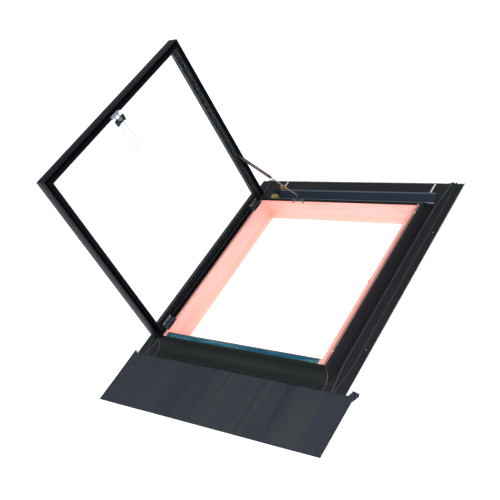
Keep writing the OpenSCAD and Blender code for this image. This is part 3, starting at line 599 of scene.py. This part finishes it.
def cross_screw(name, head_r, head_h, shank_r, shank_l):
    """A pan-head screw with a cross recess, standing on its seat at the origin."""
    sides = 24
    bpy.ops.object.select_all(action="DESELECT")
    bpy.ops.mesh.primitive_cylinder_add(vertices=sides, radius=head_r, depth=head_h,
                                        location=(0, 0, head_h / 2))
    obj = named(name)
    bpy.ops.object.transform_apply(location=True, rotation=True, scale=True)
    edit(obj, "FACE")
    select_faces(obj, lambda f: f.normal.z > 0.9)
    bpy.ops.mesh.inset(thickness=head_r * 0.22)
    bpy.ops.transform.translate(value=(0, 0, head_h * DOME))
    bpy.ops.mesh.inset(thickness=head_r * 0.24)
    bpy.ops.transform.translate(value=(0, 0, head_h * CROWN))
    bpy.ops.mesh.select_mode(type="VERT")
    top = head_h * (HEAD_RISE - 0.01)
    inner = head_r * 0.56
    select_points(obj, lambda p: p.z > top and abs(p.x) > 0.25 * inner and abs(p.y) > 0.25 * inner)
    bpy.ops.transform.resize(value=(0.42, 0.42, 1), center_override=(0, 0, 0))
    bpy.ops.mesh.select_mode(type="FACE")
    select_faces(obj, lambda f: f.normal.z > 0.9 and f.center.z > top
                 and Vector(f.center).xy.length < 0.1 * inner)
    bpy.ops.mesh.extrude_region_move(TRANSFORM_OT_translate={"value": (0, 0, -head_h * 0.7)})
    select_faces(obj, lambda f: f.normal.z < -0.9)
    bpy.ops.mesh.inset(thickness=head_r - shank_r)
    bpy.ops.mesh.extrude_region_move(TRANSFORM_OT_translate={"value": (0, 0, -shank_l * 0.85)})
    bpy.ops.mesh.extrude_region_move(TRANSFORM_OT_translate={"value": (0, 0, -shank_l * 0.15)})
    bpy.ops.transform.resize(value=(0.3, 0.3, 1))
    leave_edit()
    smooth(obj, 30)
    return obj


def make_screws(node, direction, head_r, head_h, shank_r, finish=ZINC):
    """A cross-headed screw on each of a node's solids, joined as one piece."""
    axis = max(range(3), key=lambda i: abs(direction[i]))
    sign = 1 if direction[axis] > 0 else -1
    turn = Vector((0, 0, 1)).rotation_difference(Vector(direction)).to_matrix().to_4x4()
    copies = []
    for low, high in solids(node):
        place = (low + high) / 2
        length = high[axis] - low[axis]
        tip = high[axis] if sign > 0 else low[axis]
        place[axis] = tip - sign * head_h * MM
        screw = cross_screw(node + "_made", head_r * MM, head_h * MM / HEAD_RISE, shank_r * MM,
                            length - head_h * MM)
        screw.matrix_world = Matrix.Translation(place) @ turn
        copies.append(screw)
    select_only(*copies)
    bpy.ops.object.transform_apply(location=True, rotation=True, scale=True)
    if len(copies) > 1:
        bpy.ops.object.join()
    finish_piece(copies[0], node, finish)


def make_all_screws():
    make_screws("sill_strip_screws", (0, 0, 1), 3.4, 1.0, 1.55)
    make_screws("hinge_frame_screws", (0, 0, 1), 3.5, 1.2, 1.7)
    make_screws("stay_bracket_screws", (0, 0, 1), 3.5, 1.2, 1.7)
    make_screws("spare_head_screws", (0, -1, 0), 3.5, 1.2, 1.7)
    make_screws("hinge_sash_screws", (1, 0, 0), 2.7, 1.2, 1.35)
    make_screws("latch_plate_screws", (1, 0, 0), 2.7, 1.2, 1.35)
    make_screws("latch_keeper_screws", (-1, 0, 0), 3.0, 1.0, 1.45)


def make_packing():
    """Foam blocks with soft corners and a slightly uneven surface."""
    obj = merged_copy("packing_blocks", "packing_blocks_made")
    add_modifier(obj, "BEVEL", width=1.6 * MM, segments=3)
    add_modifier(obj, "TRIANGULATE")
    add_modifier(obj, "SUBSURF", subdivision_type="SIMPLE", levels=2, render_levels=2)
    for point in obj.data.vertices:
        point.co -= point.normal * 0.5 * MM * (0.5 + 0.5 * noise.noise(point.co * 120))
    smooth(obj)
    finish_piece(obj, "packing_blocks", FOAM)


APRON_WAVE = 1.0 * MM
APRON_FADE = 60 * MM
TAB_LIFT = 9 * MM
TAB_REACH = (20 * MM, 30 * MM)


def share(value):
    """The value held between 0 and 1."""
    return max(0.0, min(1.0, value))


def make_apron():
    """Pleated sheet, slightly wavy towards its free edge, its outer tab curled up."""
    low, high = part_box("apron")
    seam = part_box("front_flashing")[0][1]
    rows = 5
    obj = merged_copy("apron", "apron_made")
    edit(obj)
    for row in range(1, rows):
        bpy.ops.mesh.select_all(action="SELECT")
        place = low[1] + (seam - low[1]) * row / rows
        bpy.ops.mesh.bisect(plane_co=(0, place, 0), plane_no=(0, 1, 0))
    leave_edit()
    flange_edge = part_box("right_flashing")[1][0]
    for point in obj.data.vertices:
        x, y, z = point.co
        fall = share((seam - y) / APRON_FADE)
        wave = noise.noise(Vector((x * 7, y * 5, 0)))
        curl = share((x - flange_edge) / TAB_REACH[0]) * share((y - seam + 0.02) / TAB_REACH[1])
        point.co.z += TAB_LIFT * curl * curl - APRON_WAVE * fall * (1 + wave)
    finish_piece(obj, "apron", APRON)


# --- surroundings -------------------------------------------------------------------

FLOOR_SIZE = 80
FLOOR_GLOW = 0.75
WORLD_GLOW = 0.45
KEY_POWER = 235
FILL_POWER = 65


def make_floor():
    bpy.ops.object.select_all(action="DESELECT")
    bpy.ops.mesh.primitive_plane_add(size=FLOOR_SIZE, location=(0, 0, FLOOR_Z))
    floor = named("floor")
    f = Finish("pale_floor", gloss=0.1)
    soft = f.noise((2, 2, 2), 2.0)
    f.drive("Base Color", f.mix(soft, colour(246, 246, 246), colour(250, 250, 250)))
    f.shader.inputs["Roughness"].default_value = 0.9
    f.shader.inputs["Emission Color"].default_value = (1, 1, 1, 1)
    f.shader.inputs["Emission Strength"].default_value = FLOOR_GLOW
    floor.data.materials.append(f.material)


def area_light(name, place, target, size, power):
    bpy.ops.object.light_add(type="AREA", location=place)
    light = bpy.context.active_object
    light.name = name
    light.data.shape = "DISK"
    light.data.size = size
    light.data.energy = power
    light.rotation_euler = (Vector(target) - Vector(place)).to_track_quat("-Z", "Y").to_euler()


def make_lights():
    world = bpy.data.worlds.new("studio")
    bpy.context.scene.world = world
    world.use_nodes = True
    background = world.node_tree.nodes["Background"]
    background.inputs["Color"].default_value = (1, 1, 1, 1)
    background.inputs["Strength"].default_value = WORLD_GLOW
    area_light("key", (3.2, -2.6, 3.6), (0, 0, 0.1), 2.4, KEY_POWER)
    area_light("fill", (-2.4, -2.8, 3.0), (0, 0, 0.2), 3.0, FILL_POWER)
    view = bpy.context.scene.view_settings
    view.view_transform = "Standard"
    view.look = "None"


make_camera()
make_pull_loop()
make_timbers()
make_flashing()
make_fittings()
make_sash()
make_stay()
make_latch()
make_all_screws()
make_packing()
make_apron()
make_floor()
make_lights()
